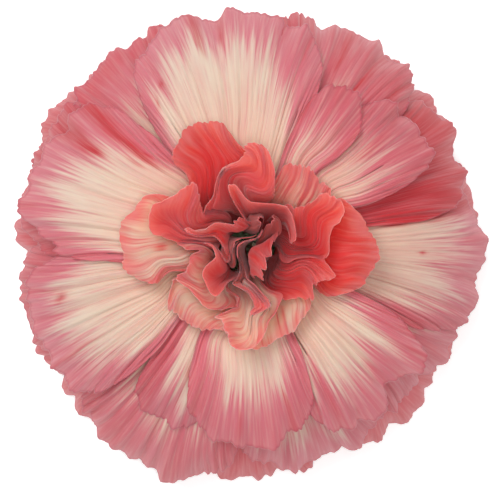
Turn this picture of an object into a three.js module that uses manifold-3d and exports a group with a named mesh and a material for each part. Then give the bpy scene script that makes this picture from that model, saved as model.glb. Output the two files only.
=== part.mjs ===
// A double carnation bloom, cut just under its calyx, resting face up on its cut end and its guard petals.
// Millimetres, +Z up. The bloom's axis is vertical, and azimuths run anticlockwise from +X, in degrees.
import * as THREE from "three";
import { mergeVertices } from "three/addons/utils/BufferGeometryUtils.js";
import Module from "manifold-3d";

// ---- Driving dimensions ----
const BLOOM_RADIUS = 38; // from the axis to the longest petal tip
const CROWN_HEIGHT = 23.5; // from the calyx mouth to the top of the innermost petals
const CALYX_LENGTH = 20; // from the calyx base to the petals' bend at its mouth
const CALYX_MOUTH_RADIUS = 7.3; // inside
const CALYX_WALL = 0.6;
const CALYX_FLOOR = 0.8;
const TOOTH_LENGTH = 4.5;
const TOOTH_COUNT = 5;
const STEM_RADIUS = 2.3;
const STEM_LENGTH = 1.6; // of the cut stem below the calyx
const RECEPTACLE_HEIGHT = 3.4; // of the petals' seat above the calyx base
const OVARY_RADIUS = 1.3;
const OVARY_LENGTH = 8;
const STYLE_RADIUS = 0.3;
const STYLE_LENGTH = 11;
const BRACT_LENGTH = 9;
const BRACT_WALL = 0.5;
const BRACT_COUNT = 4;
const PETAL_THICKNESS = 0.3;
const CLAW_TO_OVARY = 0.96; // from the innermost claws to the ovary
const RANK_GAP = 0.0285; // between petals of a whorl that overlap, as a share of the bloom's mean size
const CLEARANCE = 0.35; // between neighbouring pieces

// ---- What follows from them ----
const THROAT = STEM_LENGTH + CALYX_LENGTH; // height at which the petals leave the calyx
const RECEPTACLE_TOP = STEM_LENGTH + RECEPTACLE_HEIGHT;
const OUTER_CLAW_RADIUS = CALYX_MOUTH_RADIUS - CLEARANCE - PETAL_THICKNESS / 2;
const INNER_CLAW_RADIUS = OVARY_RADIUS + CLAW_TO_OVARY + PETAL_THICKNESS / 2;
const RANK_STEP = PETAL_THICKNESS + RANK_GAP * Math.sqrt(BLOOM_RADIUS * CROWN_HEIGHT);
const CALYX_RADIUS = CALYX_MOUTH_RADIUS + CALYX_WALL;
const TOP = THROAT + CROWN_HEIGHT;

const radians = THREE.MathUtils.degToRad;
const smooth = THREE.MathUtils.smoothstep;
const mix = THREE.MathUtils.lerp;
const turnOf = (azimuth) => ((azimuth % 360) + 360) % 360;
const wrapped = (angle) => Math.atan2(Math.sin(angle), Math.cos(angle));

// ---- Materials ----
const finish = (color, roughness) => new THREE.MeshStandardMaterial({ color, roughness, metalness: 0 });
const OUTER_PETAL = finish("#e0b3ac", 0.6);
const INNER_PETAL = finish("#c64b48", 0.6);
const CALYX_GREEN = finish("#8aa36b", 0.55);
const STEM_GREEN = finish("#9db37e", 0.6);
const OVARY_GREEN = finish("#dfe3bd", 0.5);

// ---- Petals ----
// Each whorl: half a claw's width and the height of its waves in mm; the angle by which a blade opens each
// side of its middle and the most that it covers about the axis each side, in degrees; and its section.
// That is a cubic from its claw ring over the calyx mouth to the tips, whose other points are shares of the
// bloom's radius and, in height, of the way from the surface (0) to the mouth (1) and the crown's top (2).
const WHORLS = [
  ["guard", 1.5, 0.9, 36, 34, [[0.36, 1.22], [0.87, 0.98], [0.985, 0.015]]],
  ["outer", 1.3, 0.9, 35, 33, [[0.36, 1.44], [0.84, 1.26], [0.985, 0.42]]],
  ["front", 1.2, 0.8, 35, 32, [[0.26, 1.66], [0.72, 1.66], [0.985, 0.76]]],
  ["ruff", 1.2, 0.7, 34, 52, [[0.2, 1.52], [0.36, 1.8], [0.56, 1.66]]],
  ["crown", 1.0, 0.5, 23, 55, [[0.15, 1.55], [0.24, 1.86], [0.4, 1.92]]],
  ["core", 0.9, 0.45, 17, 60, [[0.1, 1.6], [0.14, 1.92], [0.26, 2.03]]],
  ["heart", 0.8, 0.25, 8, 55, [[0.07, 1.5], [0.085, 1.85], [0.11, 2.03]]],
].map(([name, claw, wave, fan, turn, section]) => ({ name, claw, wave, fan, turn, section }));
const FIRST_INNER_WHORL = 3;

// Each petal: the azimuth of its blade, its reach as a share of the bloom's radius, its rank, which says
// which of two overlapping petals of a whorl lies above the other, and its spread, a share of its whorl's
// fan and turn.
const PETALS = {
  guard: [
    [4, 0.985, 0, 1], [46, 0.975, 1, 1], [87, 0.985, 0, 1], [137, 0.98, 1, 1],
    [179, 0.985, 0, 1], [223, 0.98, 1, 1], [268, 0.985, 0, 1], [317, 0.985, 0.83, 1],
  ],
  outer: [
    [-2, 1.0, 0, 0.95], [28, 0.95, 0.93, 0.8], [62, 0.98, 1.91, 0.9], [120, 0.96, 0, 1], [160, 0.95, 1, 1],
    [197, 0.97, 0, 1], [244, 0.98, 1, 1], [290, 0.96, 0, 1], [330, 0.98, -0.85, 1],
  ],
  front: [
    [96, 0.98, 0.1, 1.2], [158, 0.92, 0.96, 1.05], [205, 0.95, 0, 0.9], [244, 0.83, -1, 0.6],
    [271, 0.81, 0.75, 1], [312, 0.88, 0, 0.95], [36, 0.86, 0, 0.65], [56, 0.73, 1, 0.5],
  ],
  ruff: [
    [115, 0.53, -0.15, 0.7], [178, 0.5, 0.3, 0.85], [236, 0.4, -0.3, 0.9],
    [292, 0.4, 0.3, 0.9], [356, 0.52, -0.3, 0.8], [46, 0.42, 0.3, 0.8],
  ],
  crown: [
    [90, 0.39, -0.45, 0.8], [148, 0.34, 0.5, 1], [212, 0.32, -0.45, 1],
    [264, 0.35, 0.5, 0.9], [326, 0.33, -0.45, 1], [22, 0.36, 0.4, 0.9],
  ],
  core: [
    [64, 0.24, -0.3, 0.8], [130, 0.23, 0.4, 1], [200, 0.25, -0.45, 0.8],
    [262, 0.23, 0.5, 0.6], [325, 0.24, -0.45, 0.8],
  ],
  heart: [[85, 0.11, 0, 1], [175, 0.105, 0, 1], [265, 0.11, 0, 1], [355, 0.105, 0, 1]],
};
const SIDE_DROP = 0.2; // share by which a blade is shorter at its sides
const SIDE_ROUNDING = 2.6; // the power with which it gets shorter

// Shares of a blade's length by which it has opened, risen to its rank, turned from its claw's azimuth to its
// own and left its claw's width behind.
const OPEN_BY = 0.35;
const RISEN_BY = 0.3;
const TURNED_BY = 0.45;
const WIDENED_BY = 0.5;

// Waves run round each whorl: how many, how high as a share of the whorl's wave, and the phase of the first
// whorl and its step from one whorl to the next, in radians.
const WAVES = [[3, 0.6, 0, 1.9], [7, 0.48, 0.7, 2.3], [13, 0.42, 0, 1]];

// The inner petals are crumpled. Above the mouth everything is turned a little about each of these upright
// axes and then moved sideways by each of these ripples, so that sheets that are apart stay apart.
// A whirl has a place and a reach as shares of the bloom's radius, and a turn in degrees. A ripple has the
// azimuth that it runs in, its length and its height as shares of the bloom's radius, and a phase in degrees.
const WHIRLS = [
  [0.2, 0.16, 0.13, 46], [-0.16, 0.22, 0.14, -49], [-0.27, -0.03, 0.13, 44], [-0.12, -0.24, 0.14, -48],
  [0.17, -0.2, 0.13, 44], [0.3, -0.02, 0.12, -26], [0.02, 0.33, 0.11, 37], [0.0, 0.04, 0.12, 30],
];
const RIPPLES = [[20, 0.36, 0.05, 40], [110, 0.3, 0.044, 200], [65, 0.21, 0.024, 90]];
const RIPPLE_REACH = 0.42; // share of the bloom's radius at which ripples have faded to a third
const CRUMPLE_FROM = 0.2; // shares of the crown's height between which the crumpling grows
const CRUMPLE_FULL = 0.95;

// ---- Facets ----
const FACETS = { across: 6, rows: [0, 0.1, 0.22, 0.36, 0.52, 0.68, 0.84, 1] };
const INNER_FACETS = { across: 12, rows: [0, 0.08, 0.17, 0.26, 0.35, 0.44, 0.53, 0.62, 0.71, 0.8, 0.9, 1] };
const CALYX_SIDES = 40;
const STEM_SIDES = 24;

const heightAt = (share) => (share <= 1 ? THROAT * share : mix(THROAT, TOP, share - 1));

function whorlSection(index) {
  const clawRadius = mix(OUTER_CLAW_RADIUS, INNER_CLAW_RADIUS, index / (WHORLS.length - 1));
  const points = WHORLS[index].section.map(([r, h]) => new THREE.Vector2(r * BLOOM_RADIUS, heightAt(h)));
  return new THREE.CubicBezierCurve(new THREE.Vector2(clawRadius, THROAT + index * CLEARANCE), ...points);
}

// The share of a section's length at which it reaches a plan radius.
function shareAtRadius(section, radius) {
  let low = 0;
  let high = 1;
  for (let i = 0; i < 30; i++) {
    const middle = (low + high) / 2;
    if (section.getPointAt(middle).x < radius) low = middle;
    else high = middle;
  }
  return low;
}

// How far a whorl's waves lift it. Its petals share them, so that those that overlap stay apart.
function waveAt(index, azimuth, out) {
  let lift = 0;
  for (const [count, share, phase, step] of WAVES)
    lift += share * Math.sin(count * azimuth + phase + step * index);
  return WHORLS[index].wave * lift * out * out;
}

function crumple(point) {
  const share = smooth((point.z - THROAT) / CROWN_HEIGHT, CRUMPLE_FROM, CRUMPLE_FULL);
  for (const [x, y, reach, turn] of WHIRLS) {
    const dx = point.x - x * BLOOM_RADIUS;
    const dy = point.y - y * BLOOM_RADIUS;
    const near = Math.exp(-(dx * dx + dy * dy) / (reach * BLOOM_RADIUS) ** 2);
    const angle = radians(turn) * share * near;
    point.x += dx * (Math.cos(angle) - 1) - dy * Math.sin(angle);
    point.y += dx * Math.sin(angle) + dy * (Math.cos(angle) - 1);
  }
  for (const [azimuth, length, height, phase] of RIPPLES) {
    const [c, s] = [Math.cos(radians(azimuth)), Math.sin(radians(azimuth))];
    const along = (point.x * c + point.y * s) / (length * BLOOM_RADIUS);
    const near = Math.exp(-((Math.hypot(point.x, point.y) / (RIPPLE_REACH * BLOOM_RADIUS)) ** 4));
    const move = height * BLOOM_RADIUS * Math.sin(2 * Math.PI * along + radians(phase)) * share * near;
    point.x -= s * move;
    point.y += c * move;
  }
  return point;
}

// Claws stand evenly round their ring, in the order of their blades, turned to suit those best.
function clawAzimuths(name) {
  const blades = PETALS[name].map(([azimuth]) => turnOf(azimuth));
  const order = blades.map((_, i) => i).sort((a, b) => blades[a] - blades[b]);
  const pitch = 360 / blades.length;
  const offset = order.reduce((sum, i, place) => sum + blades[i] - place * pitch, 0) / blades.length;
  const claws = [];
  order.forEach((i, place) => (claws[i] = place * pitch + offset));
  return claws;
}

const around = (radius, azimuth, height) =>
  new THREE.Vector3(radius * Math.cos(azimuth), radius * Math.sin(azimuth), height);

// The middle of a petal's thickness: across from -1 to 1, down the claw or out along the blade from 0 to 1.
function petalSurface(index, order) {
  const whorl = WHORLS[index];
  const [azimuth, reach, rank, spread] = PETALS[whorl.name][order];
  const section = whorlSection(index);
  const sectionLength = section.getLength();
  const length = sectionLength * shareAtRadius(section, reach * BLOOM_RADIUS);
  const clawAzimuth = radians(clawAzimuths(whorl.name)[order]);
  const bladeAzimuth = clawAzimuth + wrapped(radians(azimuth) - clawAzimuth);
  const start = section.getPoint(0);
  const clawBottom = RECEPTACLE_TOP + CLEARANCE;
  const claw = (across, down) =>
    around(start.x, clawAzimuth + (across * whorl.claw) / start.x, mix(start.y, clawBottom, down));
  const blade = (across, out) => {
    const fan = radians(whorl.fan * spread) * across * smooth(out, 0, OPEN_BY);
    const ray = out * length * (1 - SIDE_DROP * Math.abs(across) ** SIDE_ROUNDING);
    const share = Math.min((ray * Math.cos(fan)) / sectionLength, 1);
    const at = section.getPointAt(share);
    const along = section.getTangentAt(share);
    const sideways = across * whorl.claw * (1 - smooth(out, 0, WIDENED_BY)) + ray * Math.sin(fan);
    const most = radians(whorl.turn * spread);
    const a = mix(clawAzimuth, bladeAzimuth, smooth(out, 0, TURNED_BY)) +
      most * Math.tanh(sideways / Math.max(at.x, start.x) / most);
    const lift = rank * RANK_STEP * smooth(out, 0, RISEN_BY) + waveAt(index, a, out);
    return crumple(around(at.x - along.y * lift, a, at.y + along.x * lift));
  };
  return { claw, blade };
}

// A closed sheet of even thickness round a grid of points, with rows along it and columns across it.
function sheetGeometry(rows, thickness) {
  const across = rows[0].length;
  const clamp = THREE.MathUtils.clamp;
  const at = (i, j) => rows[clamp(j, 0, rows.length - 1)][clamp(i, 0, across - 1)];
  const positions = [];
  for (const side of [1, -1])
    rows.forEach((row, j) =>
      row.forEach((point, i) => {
        const right = new THREE.Vector3().subVectors(at(i + 1, j), at(i - 1, j));
        const ahead = new THREE.Vector3().subVectors(at(i, j + 1), at(i, j - 1));
        const normal = ahead.cross(right).normalize();
        positions.push(...point.clone().addScaledVector(normal, (side * thickness) / 2).toArray());
      }),
    );
  const faces = [];
  const under = rows.length * across;
  for (let j = 0; j + 1 < rows.length; j++)
    for (let i = 0; i + 1 < across; i++) {
      const a = j * across + i;
      const [b, c, d] = [a + 1, a + across, a + across + 1];
      faces.push(a, d, b, a, c, d, under + a, under + b, under + d, under + a, under + d, under + c);
    }
  const last = rows.length - 1;
  const rim = [];
  for (let i = 0; i + 1 < across; i++) rim.push([i, i + 1], [last * across + i + 1, last * across + i]);
  for (let a = 0; a < last * across; a += across)
    rim.push([a + across - 1, a + 2 * across - 1], [a + across, a]);
  for (const [p, q] of rim) faces.push(p, q, under + q, p, under + q, under + p);
  return indexedGeometry(positions, faces);
}

function indexedGeometry(positions, faces) {
  const geometry = new THREE.BufferGeometry();
  geometry.setAttribute("position", new THREE.Float32BufferAttribute(positions, 3));
  geometry.setIndex(faces);
  return geometry;
}

function petalGeometry(index, order) {
  const { claw, blade } = petalSurface(index, order);
  const facets = index < FIRST_INNER_WHORL ? FACETS : INNER_FACETS;
  const columns = Array.from({ length: facets.across + 1 }, (_, i) => (2 * i) / facets.across - 1);
  const rows = [columns.map((across) => claw(across, 1))];
  for (const out of facets.rows) rows.push(columns.map((across) => blade(across, out)));
  return sheetGeometry(rows, PETAL_THICKNESS);
}

// ---- Calyx and bracts ----
const CALYX_RIM = CALYX_LENGTH - TOOTH_LENGTH; // heights here are from the calyx base
const CALYX_FOOT = [ // its rounded outside, as shares of its radius, up to where it is upright
  [(STEM_RADIUS + CLEARANCE) / CALYX_RADIUS, 0], [0.66, 0.25], [0.9, 1.3], [1, 3.4],
].map(([share, height]) => [share * CALYX_RADIUS, height]);

// A calyx is a cup with a hole for the stem, and its rim rises to a tooth five times round.
function calyxGeometry() {
  const inside = CALYX_FOOT.map(([r, h], i) => [i ? r - CALYX_WALL : r, h + CALYX_FLOOR]).reverse();
  const tiers = [...CALYX_FOOT, [CALYX_RADIUS, CALYX_RIM], [CALYX_MOUTH_RADIUS, CALYX_RIM], ...inside];
  const positions = [];
  const faces = [];
  for (let i = 0; i < CALYX_SIDES; i++) {
    const peak = 1 - Math.abs(2 * (((i * TOOTH_COUNT) / CALYX_SIDES) % 1) - 1);
    const tooth = (TOOTH_LENGTH - CLEARANCE) * peak;
    tiers.forEach(([r, h], j) => {
      const rise = h === CALYX_RIM ? tooth : 0;
      positions.push(...around(r, (2 * Math.PI * i) / CALYX_SIDES, STEM_LENGTH + h + rise).toArray());
      const next = (j + 1) % tiers.length;
      const [here, beside] = [i * tiers.length, ((i + 1) % CALYX_SIDES) * tiers.length];
      faces.push(here + j, beside + j, beside + next, here + j, beside + next, here + next);
    });
  }
  return indexedGeometry(positions, faces);
}

const BRACT_ROWS = [0, 0.2, 0.42, 0.64, 0.84, 1];
const BRACT_COLUMNS = [-1, -0.5, 0, 0.5, 1];
const BRACT_BASE = 3.6; // above the calyx base, where its wall is upright
const BRACT_HALF_WIDTH = 4.6;
const BRACT_TIP_HALF_WIDTH = 0.25;
const BRACT_TAPER = 1.6; // the power with which a bract narrows

function bractGeometry(azimuth) {
  const radius = CALYX_RADIUS + CLEARANCE + BRACT_WALL / 2;
  const rows = BRACT_ROWS.map((up) => {
    const halfWidth = BRACT_TIP_HALF_WIDTH + BRACT_HALF_WIDTH * Math.sqrt(1 - up ** BRACT_TAPER);
    const height = STEM_LENGTH + BRACT_BASE + BRACT_LENGTH * up;
    const turn = halfWidth / radius;
    return BRACT_COLUMNS.map((across) => around(radius, radians(azimuth) + across * turn, height));
  });
  return sheetGeometry(rows, BRACT_WALL);
}

// ---- Stem, receptacle and pistil ----
const SEAT_EDGE = 0.3; // height of the seat's upright edge
const NECK_RISE = 0.4; // of the receptacle's underside, out to the neck's share of the seat's radius
const NECK_SHARE = 0.6;
const OVARY_TIERS = 6;
const STYLE_STEPS = 5;
const STYLE_CURVE = [[0.9, 0, 0], [1.4, 0, 0.6], [3.5, 1, 1]]; // out and aside in radii, and share of length

const wasm = await Module();
wasm.setup();

const lathe = (points, sides) =>
  new THREE.LatheGeometry(points.map(([r, h]) => new THREE.Vector2(r, h)), sides).rotateX(Math.PI / 2);

function solidOf(geometry) {
  geometry.deleteAttribute("normal");
  geometry.deleteAttribute("uv");
  const merged = mergeVertices(geometry, 1e-4);
  const vertProperties = merged.getAttribute("position").array;
  const triVerts = new Uint32Array(merged.index.array);
  return new wasm.Manifold(new wasm.Mesh({ numProp: 3, vertProperties, triVerts }));
}

function geometryOf(solid) {
  const { vertProperties, triVerts } = solid.getMesh();
  return indexedGeometry([...vertProperties], [...triVerts]);
}

// The cut stem runs up through the calyx floor and widens into the seat on which the petals stand.
function receptacleGeometry() {
  const floor = STEM_LENGTH + CALYX_FLOOR + CLEARANCE;
  const seat = CALYX_MOUTH_RADIUS - 2 * CLEARANCE;
  const profile = [
    [0, 0], [STEM_RADIUS, 0], [STEM_RADIUS, floor], [NECK_SHARE * seat, floor + NECK_RISE],
    [seat, RECEPTACLE_TOP - SEAT_EDGE], [seat, RECEPTACLE_TOP], [0, RECEPTACLE_TOP],
  ];
  return lathe(profile, STEM_SIDES);
}

function styleGeometry(side, start) {
  const section = new THREE.Shape().absarc(0, 0, STYLE_RADIUS, 0, 2 * Math.PI);
  const points = STYLE_CURVE.map(([out, aside, up]) =>
    new THREE.Vector3(side * out * STYLE_RADIUS, side * aside * STYLE_RADIUS, start + up * STYLE_LENGTH));
  const extrudePath = new THREE.QuadraticBezierCurve3(...points);
  return new THREE.ExtrudeGeometry(section, { steps: STYLE_STEPS, extrudePath, curveSegments: 4 });
}

// An ovary with two curved styles, which is one piece.
function pistilGeometry() {
  const base = RECEPTACLE_TOP + CLEARANCE;
  const belly = Array.from({ length: OVARY_TIERS + 1 }, (_, i) => {
    const a = (i * Math.PI) / OVARY_TIERS;
    return [i % OVARY_TIERS ? OVARY_RADIUS * Math.sin(a) : 0, base + (OVARY_LENGTH / 2) * (1 - Math.cos(a))];
  });
  const start = base + OVARY_LENGTH - 2 * STYLE_RADIUS;
  const ovary = solidOf(lathe(belly, STEM_SIDES / 2));
  return geometryOf([-1, 1].reduce((solid, side) => solid.add(solidOf(styleGeometry(side, start))), ovary));
}

// ---- The bloom ----
const bloom = new THREE.Group();
function add(name, geometry, material) {
  const mesh = new THREE.Mesh(geometry, material);
  mesh.name = name;
  bloom.add(mesh);
}

add("stem_and_receptacle", receptacleGeometry(), STEM_GREEN);
add("calyx", calyxGeometry(), CALYX_GREEN);
for (let i = 0; i < BRACT_COUNT; i++)
  add(`bract_${i + 1}`, bractGeometry((360 * i) / BRACT_COUNT), CALYX_GREEN);
add("pistil", pistilGeometry(), OVARY_GREEN);
WHORLS.forEach(({ name }, index) => {
  const material = index < FIRST_INNER_WHORL ? OUTER_PETAL : INNER_PETAL;
  for (let order = 0; order < PETALS[name].length; order++)
    add(`${name}_petal_${order + 1}`, petalGeometry(index, order), material);
});

// The origin is on the surface, under the middle of the bloom's outline.
const outline = new THREE.Box3().setFromObject(bloom, true);
const middle = outline.getCenter(new THREE.Vector3());
bloom.position.set(-middle.x, -middle.y, -outline.min.z);

export default bloom;
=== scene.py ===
"""A double carnation bloom, face up: fine petals, calyx, bracts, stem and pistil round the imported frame.

Shapes are worked out in millimetres round the bloom's axis, and put into the frame in metres.
Azimuths run anticlockwise from +X, in degrees.
"""

import math

import bpy
import numpy as np
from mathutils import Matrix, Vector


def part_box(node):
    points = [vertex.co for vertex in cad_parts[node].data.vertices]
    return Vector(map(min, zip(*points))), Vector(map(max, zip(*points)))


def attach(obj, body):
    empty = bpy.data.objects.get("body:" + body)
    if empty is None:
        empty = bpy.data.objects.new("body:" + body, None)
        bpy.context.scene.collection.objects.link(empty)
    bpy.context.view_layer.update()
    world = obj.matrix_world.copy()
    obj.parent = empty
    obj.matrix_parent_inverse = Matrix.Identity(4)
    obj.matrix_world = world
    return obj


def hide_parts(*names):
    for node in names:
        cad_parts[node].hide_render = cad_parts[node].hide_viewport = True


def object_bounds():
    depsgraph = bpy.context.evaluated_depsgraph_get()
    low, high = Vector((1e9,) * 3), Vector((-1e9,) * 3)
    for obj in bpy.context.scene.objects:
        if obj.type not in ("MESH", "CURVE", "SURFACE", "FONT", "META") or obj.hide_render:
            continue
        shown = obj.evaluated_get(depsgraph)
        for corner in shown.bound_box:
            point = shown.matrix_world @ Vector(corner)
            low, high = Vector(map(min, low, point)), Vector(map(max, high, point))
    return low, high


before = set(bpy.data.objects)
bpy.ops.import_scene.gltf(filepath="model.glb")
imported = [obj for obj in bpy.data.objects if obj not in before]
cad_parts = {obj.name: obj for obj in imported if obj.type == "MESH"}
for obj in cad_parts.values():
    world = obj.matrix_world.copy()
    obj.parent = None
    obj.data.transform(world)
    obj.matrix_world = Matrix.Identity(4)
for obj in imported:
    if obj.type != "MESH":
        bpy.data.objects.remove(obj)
cad_low, cad_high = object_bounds()

MM = 0.001
SEED = 7

# ---- Places taken from the frame, in millimetres ----
calyx_low, calyx_high = (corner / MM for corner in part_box("calyx"))
stem_low, stem_high = (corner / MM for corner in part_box("stem_and_receptacle"))
AXIS = np.array([(calyx_low.x + calyx_high.x) / 2, (calyx_low.y + calyx_high.y) / 2, 0.0])
CLEARANCE = 0.35  # between neighbouring pieces
GROUND = stem_low.z
CALYX_BASE = calyx_low.z
THROAT = calyx_high.z + CLEARANCE  # height at which the petals leave the calyx
CALYX_RADIUS = (calyx_high.x - calyx_low.x) / 2
CLAW_BOTTOM = stem_high.z + CLEARANCE

# ---- The bloom's own sizes, in millimetres ----
BLOOM_RADIUS = 38.0
CROWN_HEIGHT = 23.5
OUTER_CLAW_RADIUS = 6.8
INNER_CLAW_RADIUS = 2.41
RANK_STEP = 1.15  # from one petal to the next one that overlaps it in the same whorl
PETAL_THICKNESS = 0.26
MARGIN_THICKNESS = 0.12
THIN_FROM = 0.6  # how far out a petal starts to thin towards its margin
LOWEST = 0.15  # height of the lowest petal tips over the surface

# ---- Teeth of the margins; the ranges are shares of the pitch and the depth ----
TOOTH_PITCH = 1.05
TOOTH_DEPTH = 0.5
PITCH_RANGE = (0.65, 1.35)
DEPTH_RANGE = (0.35, 1.3)
FEWEST_TEETH = 8
TEETH_PER_SPLIT = 12  # one notch in this many is a deeper split
SPLIT_DEPTH = 1.9  # against the notches beside it
TOOTH_LEAN = 0.12  # of a tooth's width, to either side at most
TOOTH_PARTS = ((0.0, 1.0), (0.3, 0.35), (0.55, 0.0), (0.8, 0.4))  # place along a tooth, share of its notch
TOOTH_CREST = 0.5  # the place along a tooth where its own notch gives way to the next

# ---- Rows of points from the claw to the margin, closer together at the margin ----
CLAW_ROWS = 4
BLADE_ROWS = 46
MARGIN_FROM = 0.9
MARGIN_ROWS = [0.925, 0.945, 0.96, 0.972, 0.982, 0.991, 1.0]

# A whorl's section is a cubic from its claw ring over the calyx mouth to the tips: three further points as
# shares of the bloom's radius and, in height, of the way from the ground (0) to the mouth (1) and on to the
# crown's top (2). A blade opens by its fan angle each side and covers at most its turn about the axis.
WHORLS = {
    "guard": dict(section=[(0.36, 1.22), (0.87, 0.98), (0.985, 0.015)], claw=1.5, wave=0.9, fan=36, turn=34),
    "outer": dict(section=[(0.36, 1.44), (0.84, 1.26), (0.985, 0.42)], claw=1.3, wave=0.9, fan=35, turn=33),
    "front": dict(section=[(0.26, 1.66), (0.72, 1.66), (0.985, 0.76)], claw=1.2, wave=0.8, fan=35, turn=32),
    "ruff": dict(section=[(0.2, 1.52), (0.36, 1.8), (0.56, 1.66)], claw=1.2, wave=0.7, fan=34, turn=52),
    "crown": dict(section=[(0.15, 1.55), (0.24, 1.86), (0.4, 1.92)], claw=1.0, wave=0.5, fan=23, turn=55),
    "core": dict(section=[(0.1, 1.6), (0.14, 1.92), (0.26, 2.03)], claw=0.9, wave=0.45, fan=17, turn=60),
    "heart": dict(section=[(0.07, 1.5), (0.085, 1.85), (0.11, 2.03)], claw=0.8, wave=0.25, fan=8, turn=55),
}
INNER = ("ruff", "crown", "core", "heart")
SECTION_STEPS = 500

# Each petal: the azimuth of its blade, its reach as a share of the bloom's radius, its rank, which says
# which of two overlapping petals of a whorl lies above the other, and its share of the whorl's fan and turn.
PETALS = {
    "guard": [
        (4, 0.985, 0, 1), (46, 0.975, 1, 1), (87, 0.985, 0, 1), (137, 0.98, 1, 1),
        (179, 0.985, 0, 1), (223, 0.98, 1, 1), (268, 0.985, 0, 1), (317, 0.985, 0.83, 1),
    ],
    "outer": [
        (-2, 1.0, 0, 0.95), (28, 0.95, 0.93, 0.8), (62, 0.98, 1.91, 0.9), (120, 0.96, 0, 1),
        (160, 0.95, 1, 1), (197, 0.97, 0, 1), (244, 0.98, 1, 1), (290, 0.96, 0, 1), (330, 0.98, -0.85, 1),
    ],
    "front": [
        (96, 0.98, 0.1, 1.2), (158, 0.92, 0.96, 1.05), (205, 0.95, 0, 0.9), (244, 0.83, -1, 0.6),
        (271, 0.81, 0.75, 1), (312, 0.88, 0, 0.95), (36, 0.86, 0, 0.65), (56, 0.73, 1, 0.5),
    ],
    "ruff": [
        (115, 0.53, -0.15, 0.7), (178, 0.5, 0.3, 0.85), (236, 0.4, -0.3, 0.9),
        (292, 0.4, 0.3, 0.9), (356, 0.52, -0.3, 0.8), (46, 0.42, 0.3, 0.8),
    ],
    "crown": [
        (90, 0.39, -0.45, 0.8), (148, 0.34, 0.5, 1), (212, 0.32, -0.45, 1),
        (264, 0.35, 0.5, 0.9), (326, 0.33, -0.45, 1), (22, 0.36, 0.4, 0.9),
    ],
    "core": [
        (64, 0.24, -0.3, 0.8), (130, 0.23, 0.4, 1), (200, 0.25, -0.45, 0.8),
        (262, 0.23, 0.5, 0.6), (325, 0.24, -0.45, 0.8),
    ],
    "heart": [(85, 0.11, 0, 1), (175, 0.105, 0, 1), (265, 0.11, 0, 1), (355, 0.105, 0, 1)],
}

# The inner petals are crumpled. Above the mouth everything is turned a little about each of these upright
# axes and then moved sideways by each of these ripples, so that sheets that are apart stay apart.
# A whirl has a place and a reach as shares of the bloom's radius, and a turn in degrees. A ripple has the
# azimuth that it runs in, its length and its height as shares of the bloom's radius, and a phase in degrees.
WHIRLS = [
    (0.2, 0.16, 0.13, 46), (-0.16, 0.22, 0.14, -49), (-0.27, -0.03, 0.13, 44), (-0.12, -0.24, 0.14, -48),
    (0.17, -0.2, 0.13, 44), (0.3, -0.02, 0.12, -26), (0.02, 0.33, 0.11, 37), (0.0, 0.04, 0.12, 30),
]
SMALL_WHIRLS = [
    (0.3, 0.1, 0.1, 40), (0.08, 0.24, 0.1, -36), (-0.08, 0.13, 0.09, 44), (-0.3, 0.12, 0.1, -34),
    (-0.2, -0.13, 0.1, -40), (0.02, -0.16, 0.09, 42), (0.27, -0.14, 0.1, -38), (0.12, 0.03, 0.09, -40),
]
RIPPLES = [(20, 0.36, 0.05, 40), (110, 0.3, 0.044, 200), (65, 0.21, 0.024, 90)]
SMALL_RIPPLES = [(155, 0.19, 0.02, 20), (40, 0.15, 0.013, 140)]
RIPPLE_REACH = 0.42  # as a share of the bloom's radius
CRUMPLE_FROM, CRUMPLE_FULL = 0.2, 0.95  # shares of the way from the mouth to the crown's top
WANDER_WEIGHTS = (1.0, 0.7, 0.5, 0.35)
WANDER_PACES = (0.6, 1.9)
WANDER_SCALE = 1.6


def smooth(x, low, high):
    t = np.clip((x - low) / (high - low), 0.0, 1.0)
    return t * t * (3 - 2 * t)


def mix(a, b, share):
    return a + (b - a) * share


def wander(x, seed, period):
    """A smooth random curve of x, mostly within -1 to 1, with about this period."""
    rng = np.random.default_rng(seed)
    total = np.zeros_like(x, dtype=float)
    for weight in WANDER_WEIGHTS:
        pace = 2 * math.pi / period * rng.uniform(*WANDER_PACES)
        total += weight * np.sin(pace * x + rng.uniform(0, 2 * math.pi))
    return total / WANDER_SCALE


def height_at(share):
    return mix(GROUND, THROAT, share) if share <= 1 else THROAT + CROWN_HEIGHT * (share - 1)


class Section:
    """A whorl's section: radius, height and direction by share of its length."""

    def __init__(self, name):
        place = list(WHORLS).index(name)
        ring = mix(OUTER_CLAW_RADIUS, INNER_CLAW_RADIUS, place / (len(WHORLS) - 1))
        self.start = np.array([ring, THROAT + place * CLEARANCE])
        ends = [np.array([r * BLOOM_RADIUS, height_at(h)]) for r, h in WHORLS[name]["section"]]
        t = np.linspace(0, 1, SECTION_STEPS)[:, None]
        a, b, c, d = self.start, *ends
        self.points = a * (1 - t) ** 3 + 3 * b * t * (1 - t) ** 2 + 3 * c * t**2 * (1 - t) + d * t**3
        steps = np.linalg.norm(np.diff(self.points, axis=0), axis=1)
        self.share = np.concatenate([[0], np.cumsum(steps)])
        self.length = self.share[-1]
        self.share /= self.length
        slope = np.gradient(self.points, axis=0)
        self.slope = slope / np.linalg.norm(slope, axis=1, keepdims=True)

    def at(self, share):
        look = lambda column: np.interp(share, self.share, column)
        return [look(c) for c in (*self.points.T, *self.slope.T)]

    def share_at_radius(self, radius):
        inside = self.points[:, 0] < radius
        return self.share[-1] if inside.all() else self.share[np.argmin(inside)]


def claw_azimuths(name):
    """Claws stand evenly round their ring, in the order of their blades, turned to suit those best."""
    blades = np.array([petal[0] % 360 for petal in PETALS[name]], float)
    order = np.argsort(blades)
    pitch = 360 / len(blades)
    offset = np.mean(blades[order] - pitch * np.arange(len(blades)))
    claws = np.empty(len(blades))
    claws[order] = pitch * np.arange(len(blades)) + offset
    return claws


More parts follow.
